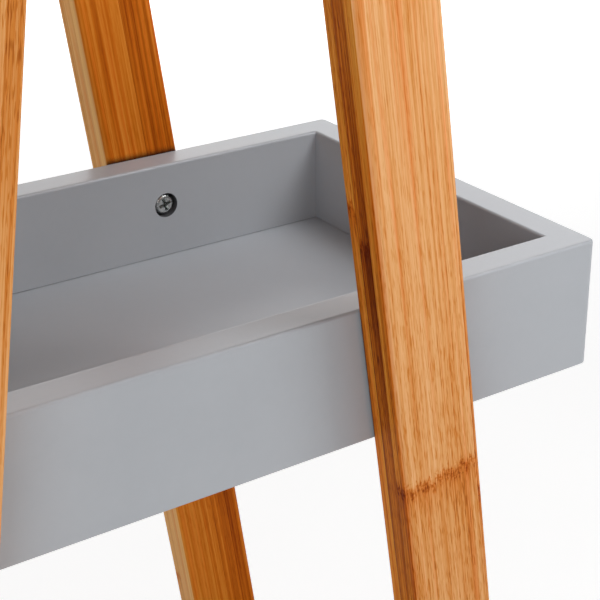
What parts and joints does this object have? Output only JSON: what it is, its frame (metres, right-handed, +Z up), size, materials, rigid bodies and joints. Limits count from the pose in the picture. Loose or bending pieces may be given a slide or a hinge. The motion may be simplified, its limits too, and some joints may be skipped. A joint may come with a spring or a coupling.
{
  "type": "ladder shelf",
  "caption": "Free-standing A-frame ladder shelf: upright bamboo A frames in front and behind, tied by a crossbar, carry open painted box trays that lengthen downwards.",
  "frame": {"origin": "on the floor, in the middle of the four feet", "axes": "+Z up, -Y is the front that faces the user, +X to the right seen from the front; the trays are long in X and the legs lean in X"},
  "size_m": [0.379, 0.182, 0.915],
  "materials": {
    "bamboo": "clear satin lacquer over laminated bamboo",
    "grey_paint": "satin grey paint on fibreboard",
    "zinc_screw": "bright zinc plate",
    "insert_metal": "yellow zinc plate",
    "steel_brad": "bright drawn steel",
    "beech_dowel": "bare beech",
    "glide_plastic": "moulded, off-white"
  },
  "bodies": {
    "root": {"front_left_leg": "bamboo", "front_right_leg": "bamboo", "rear_left_leg": "bamboo", "rear_right_leg": "bamboo", "top_crossbar": "bamboo", "crossbar_screws": "zinc_screw", "top_joint_dowels": "beech_dowel", "bottom_tray_front_wall": "grey_paint", "bottom_tray_back_wall": "grey_paint", "bottom_tray_left_wall": "grey_paint", "bottom_tray_right_wall": "grey_paint", "bottom_tray_bottom_panel": "grey_paint", "bottom_tray_corner_brads": "steel_brad", "bottom_tray_screws": "zinc_screw", "bottom_tray_inserts": "insert_metal", "middle_tray_front_wall": "grey_paint", "middle_tray_back_wall": "grey_paint", "middle_tray_left_wall": "grey_paint", "middle_tray_right_wall": "grey_paint", "middle_tray_bottom_panel": "grey_paint", "middle_tray_corner_brads": "steel_brad", "middle_tray_screws": "zinc_screw", "middle_tray_inserts": "insert_metal", "top_tray_front_wall": "grey_paint", "top_tray_back_wall": "grey_paint", "top_tray_left_wall": "grey_paint", "top_tray_right_wall": "grey_paint", "top_tray_bottom_panel": "grey_paint", "top_tray_corner_brads": "steel_brad", "top_tray_screws": "zinc_screw", "top_tray_inserts": "insert_metal", "foot_glides": "glide_plastic", "glide_nails": "steel_brad"}
  },
  "joints": []
}
